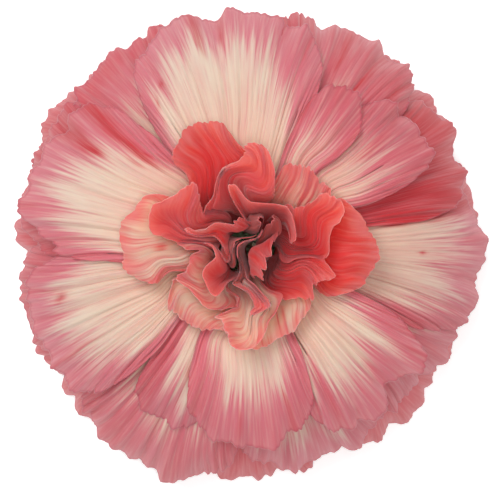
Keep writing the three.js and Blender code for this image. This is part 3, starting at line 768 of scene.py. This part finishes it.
def green_material(name, pale, deep, tip, roughness):
    """Waxy green tissue, darker along its ribs and dry at its tips, with fine lines along it and a grain."""
    material = bpy.data.materials.new(name)
    material.use_nodes = True
    tree = material.node_tree
    shader = tree.nodes["Principled BSDF"]
    place = node(tree, "ShaderNodeTexCoord")
    mapping = node(tree, "ShaderNodeMapping")
    mapping.inputs["Scale"].default_value = GREEN_LINES
    tree.links.new(place.outputs["Object"], mapping.inputs[0])
    lines = node(tree, "ShaderNodeTexNoise")
    lines.inputs["Scale"].default_value = 1.0
    lines.inputs["Detail"].default_value = 3.0
    tree.links.new(mapping.outputs[0], lines.inputs["Vector"])
    grain = node(tree, "ShaderNodeTexNoise")
    grain.inputs["Scale"].default_value = GREEN_GRAIN
    tree.links.new(place.outputs["Object"], grain.inputs["Vector"])
    shares = []
    for label, mask in (("rib", lines), ("tip", grain)):
        attribute = node(tree, "ShaderNodeAttribute", attribute_name=label)
        share = node(tree, "ShaderNodeMath", operation="MULTIPLY_ADD", use_clamp=True)
        share.inputs[1].default_value = FIELD_SHARE
        tree.links.new(attribute.outputs["Fac"], share.inputs[0])
        part = node(tree, "ShaderNodeMath", operation="MULTIPLY")
        part.inputs[1].default_value = NOISE_SHARE
        tree.links.new(mask.outputs["Fac"], part.inputs[0])
        tree.links.new(part.outputs[0], share.inputs[2])
        shares.append(share.outputs[0])
    ribbed = node(tree, "ShaderNodeMix", data_type="RGBA")
    ribbed.inputs[6].default_value = pale
    ribbed.inputs[7].default_value = deep
    tree.links.new(shares[0], ribbed.inputs[0])
    dry = node(tree, "ShaderNodeMapRange", clamp=True)
    dry.inputs["From Min"].default_value = DRY_FROM
    dry.inputs["From Max"].default_value = DRY_FULL
    tree.links.new(shares[1], dry.inputs[0])
    tipped = node(tree, "ShaderNodeMix", data_type="RGBA")
    tipped.inputs[7].default_value = tip
    tree.links.new(dry.outputs[0], tipped.inputs[0])
    tree.links.new(ribbed.outputs[2], tipped.inputs[6])
    tree.links.new(tipped.outputs[2], shader.inputs["Base Color"])
    surface = {**GREEN_SURFACE, "Roughness": roughness}
    finish_surface(tree, shader, surface, lines.outputs["Fac"], GREEN_RELIEF, GREEN_RELIEF_DEPTH)
    return material


def turned_piece(name, rings, closed, fields):
    """A piece round the axis from rings of points, each (sides, 3). Its section is a loop if closed, and
    otherwise it starts and ends at one point on the axis."""
    sides = len(rings[0])
    points = np.concatenate(rings)
    faces = []
    for j in range(len(rings) if closed else len(rings) - 1):
        here, above = j * sides, (j + 1) % len(rings) * sides
        for i in range(sides):
            beside = (i + 1) % sides
            faces.append((here + i, here + beside, above + beside, above + i))
    values = {label: value.ravel() for label, value in fields.items()}
    if not closed:
        ends = (rings[0].mean(axis=0), rings[-1].mean(axis=0))
        points = np.concatenate([points, ends])
        values = {label: np.concatenate([v, [v[0], v[-1]]]) for label, v in values.items()}
        last = (len(rings) - 1) * sides
        for i in range(sides):
            faces.append((i, len(points) - 2, (i + 1) % sides))
            faces.append((last + i, last + (i + 1) % sides, len(points) - 1))
    mesh = bpy.data.meshes.new(name)
    mesh.from_pydata((points + AXIS) * MM, [], faces)
    mesh.polygons.foreach_set("use_smooth", np.ones(len(faces), bool))
    for label, value in values.items():
        mesh.attributes.new(label, "FLOAT", "POINT").data.foreach_set("value", value.astype(np.float32))
    piece = bpy.data.objects.new(name, mesh)
    bpy.context.scene.collection.objects.link(piece)
    return piece


def finish_piece(piece, material, replaced):
    piece.data.materials.append(material)
    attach(piece, "root")
    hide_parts(replaced)


def make_calyx(material):
    """A ribbed cup with five pointed teeth, open at its foot for the stem."""
    turn = np.linspace(0, 2 * math.pi, CALYX_SIDES, endpoint=False)
    peak = 1 - np.abs(2 * (TOOTH_COUNT * turn / (2 * math.pi) % 1) - 1)
    rim = calyx_high.z - TOOTH_LENGTH + CLEARANCE + (TOOTH_LENGTH - CLEARANCE) * peak**TOOTH_POINT
    rib = 0.5 + 0.5 * np.cos(RIB_COUNT * turn)
    hole = STEM_RADIUS + CLEARANCE
    foot_r, foot_h = np.array([(hole, 0.0)] + [(share * CALYX_RADIUS, h) for share, h in CALYX_FOOT]).T
    low = [(np.interp(t, range(4), foot_r), np.interp(t, range(4), foot_h)) for t in np.linspace(0, 3, 19)]
    up = np.linspace(0, 1, 26)[1:]
    rings, ribs, tips = [], [], []

    def ring(radius, height, ribbed, tip):
        rings.append(np.stack([radius * np.cos(turn), radius * np.sin(turn), height], axis=1))
        ribs.append(ribbed * rib)
        tips.append(tip)

    for r, h in low:
        ribbed = min(h / FOOT_HEIGHT, 1)
        ring(r - RIB_HEIGHT * (1 - rib * ribbed), CALYX_BASE + h + 0 * turn, ribbed, 0 * turn)
    for share in up:
        height = mix(CALYX_BASE + FOOT_HEIGHT, rim, share)
        thin = 0.4 * CALYX_WALL * share**6
        ring(CALYX_RADIUS - RIB_HEIGHT * (1 - rib) - thin, height, 1.0, peak**2 * smooth(share, 0.72, 1.0))
    for share in up[::-1]:
        height = mix(CALYX_BASE + FOOT_HEIGHT + CALYX_FLOOR, rim - 0.05, share)
        thin = 0.3 * CALYX_WALL * share**6
        ring(CALYX_RADIUS - CALYX_WALL + thin + 0 * turn, height, 0.4, peak**2 * smooth(share, 0.72, 1.0))
    for r, h in low[::-1]:
        inner = r - CALYX_WALL * min((r - hole) / 3, 1)
        ring(inner + 0 * turn, CALYX_BASE + h + CALYX_FLOOR + 0 * turn, 0.2, 0 * turn)
    calyx = turned_piece("calyx_fine", rings, True, dict(rib=np.array(ribs), tip=np.array(tips)))
    finish_piece(calyx, material, "calyx")


def make_bract(number, material):
    """A pointed scale that hugs the calyx, keeled down its middle and thin at its margins."""
    across, up = np.meshgrid(np.linspace(-1, 1, BRACT_COLUMNS), np.linspace(0, 1, BRACT_ROWS))
    half = BRACT_TIP + BRACT_HALF_WIDTH * np.sqrt(1 - up**1.6)
    thickness = BRACT_THICKNESS * (1 - 0.6 * np.abs(across) ** 3) * (1 - 0.5 * up**4)
    keel = KEEL_HEIGHT * np.exp(-((across / KEEL_WIDTH) ** 2))
    keel += BRACT_WOBBLE * wander(across * half, number, BRACT_WOBBLE_PERIOD)
    radius = CALYX_RADIUS + CLEARANCE + 0.06 + thickness / 2 + keel
    angle = 2 * math.pi / BRACT_COUNT * number + across * half / radius
    height = CALYX_BASE + BRACT_BASE + BRACT_LENGTH * up
    points = np.stack([radius * np.cos(angle), radius * np.sin(angle), height], axis=2)
    rib = np.abs(np.cos(BRACT_VEINS * across)) * 0.7
    tip = np.maximum(smooth(up, 0.75, 1.0), 0.6 * smooth(np.abs(across), 0.85, 1.0))
    uv = np.stack([across * half, BRACT_LENGTH * up], axis=2)
    piece = sheet_mesh(f"bract_{number + 1}_fine", points, thickness, dict(rib=rib, tip=tip), uv)
    finish_piece(piece, material, f"bract_{number + 1}")


def make_stem(material):
    """The cut stem, with a slightly hollow cut end, and the seat that it widens into."""
    turn = np.linspace(0, 2 * math.pi, STEM_SIDES, endpoint=False)
    top = stem_high.z
    neck = CALYX_BASE + CALYX_FLOOR + CLEARANCE
    seat = CALYX_RADIUS - CALYX_WALL - 2 * CLEARANCE
    middle = SEAT_SHARE * seat
    profile = CUT_END + [(STEM_RADIUS, h) for h in np.linspace(0.16, neck - 0.05, 14)]
    profile += [(mix(STEM_RADIUS, middle, t), neck + 0.4 * t) for t in np.linspace(0.15, 1, 6)]
    profile += [(mix(middle, seat, t), mix(neck + 0.4, top - 0.3, t)) for t in np.linspace(0.2, 0.95, 5)]
    profile += [(seat, top - 0.24), (seat, top - 0.08), (seat - 0.08, top), (middle, top), (0.2, top)]
    ridges = np.cos(RIDGE_COUNT * turn)
    rings, ribs = [], []
    for r, h in profile:
        radius = r - RIDGE_HEIGHT + RIDGE_HEIGHT * ridges * (r > 2.2 and h > CUT_HEIGHT)
        rings.append(np.stack([radius * np.cos(turn), radius * np.sin(turn), GROUND + h + 0 * turn], axis=1))
        ribs.append(0.5 + 0.5 * ridges if h > CUT_HEIGHT else 0 * turn + 0.3 * (r < 1))
    tips = np.array([0 * turn + (0.8 if h < CUT_HEIGHT else 0.0) for _, h in profile])
    stem = turned_piece("stem_and_receptacle_fine", rings, False, dict(rib=np.array(ribs), tip=tips))
    finish_piece(stem, material, "stem_and_receptacle")


CALYX_GREEN = green_material("calyx", srgb(158, 178, 124), srgb(112, 142, 84), srgb(176, 140, 104), 0.42)
STEM_GREEN = green_material("stem", srgb(168, 188, 136), srgb(128, 156, 98), srgb(214, 214, 176), 0.5)
PISTIL_GREEN = green_material("pistil", srgb(224, 228, 190), srgb(204, 212, 160), srgb(236, 226, 206), 0.45)
make_calyx(CALYX_GREEN)
for number in range(BRACT_COUNT):
    make_bract(number, CALYX_GREEN)
make_stem(STEM_GREEN)
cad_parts["pistil"].material_slots[0].material = PISTIL_GREEN


# ---- Floor, light and camera, in metres ----
FLOOR_SIZE = 1.2
FLOOR_WHITE, FLOOR_GLOW = 0.93, 0.4
LIGHTS = [("key", (-0.17, 0.22, 0.74), 0.26, 2.8), ("top", (0.02, -0.02, 0.8), 0.2, 2.5)]
WORLD_STRENGTH = 0.32
LENS, SENSOR = 180, 36
FRAME_SHARE = 0.973  # of the picture's width that the bloom fills


def make_floor():
    """A plain pale floor under the bloom."""
    mesh = bpy.data.meshes.new("floor")
    corners = [(x * FLOOR_SIZE, y * FLOOR_SIZE, 0) for x, y in ((-1, -1), (1, -1), (1, 1), (-1, 1))]
    mesh.from_pydata(corners, [], [(0, 1, 2, 3)])
    floor = bpy.data.objects.new("floor", mesh)
    bpy.context.scene.collection.objects.link(floor)
    material = bpy.data.materials.new("floor")
    material.use_nodes = True
    shader = material.node_tree.nodes["Principled BSDF"]
    shader.inputs["Base Color"].default_value = (FLOOR_WHITE, FLOOR_WHITE, FLOOR_WHITE, 1)
    shader.inputs["Roughness"].default_value = 0.9
    shader.inputs["Emission Color"].default_value = (1, 1, 1, 1)
    shader.inputs["Emission Strength"].default_value = FLOOR_GLOW
    floor.data.materials.append(material)


def make_light(name, place, size, power):
    """A square light that faces the bloom."""
    data = bpy.data.lights.new(name, "AREA")
    data.size = size
    data.energy = power
    light = bpy.data.objects.new(name, data)
    light.location = place
    target = centre - light.location
    light.rotation_euler = target.to_track_quat("-Z", "Y").to_euler()
    bpy.context.scene.collection.objects.link(light)


centre = (cad_low + cad_high) / 2
make_floor()
for light in LIGHTS:
    make_light(*light)
world = bpy.data.worlds.new("studio")
world.use_nodes = True
world.node_tree.nodes["Background"].inputs["Color"].default_value = (1, 1, 1, 1)
world.node_tree.nodes["Background"].inputs["Strength"].default_value = WORLD_STRENGTH
bpy.context.scene.world = world
bpy.context.scene.view_settings.view_transform = "Standard"

camera_data = bpy.data.cameras.new("camera")
camera_data.lens = LENS
camera_data.sensor_width = SENSOR
camera = bpy.data.objects.new("camera", camera_data)
view_width = (cad_high.x - cad_low.x) / FRAME_SHARE
camera.location = (centre.x, centre.y, centre.z + view_width * LENS / SENSOR)
bpy.context.scene.collection.objects.link(camera)
bpy.context.scene.camera = camera
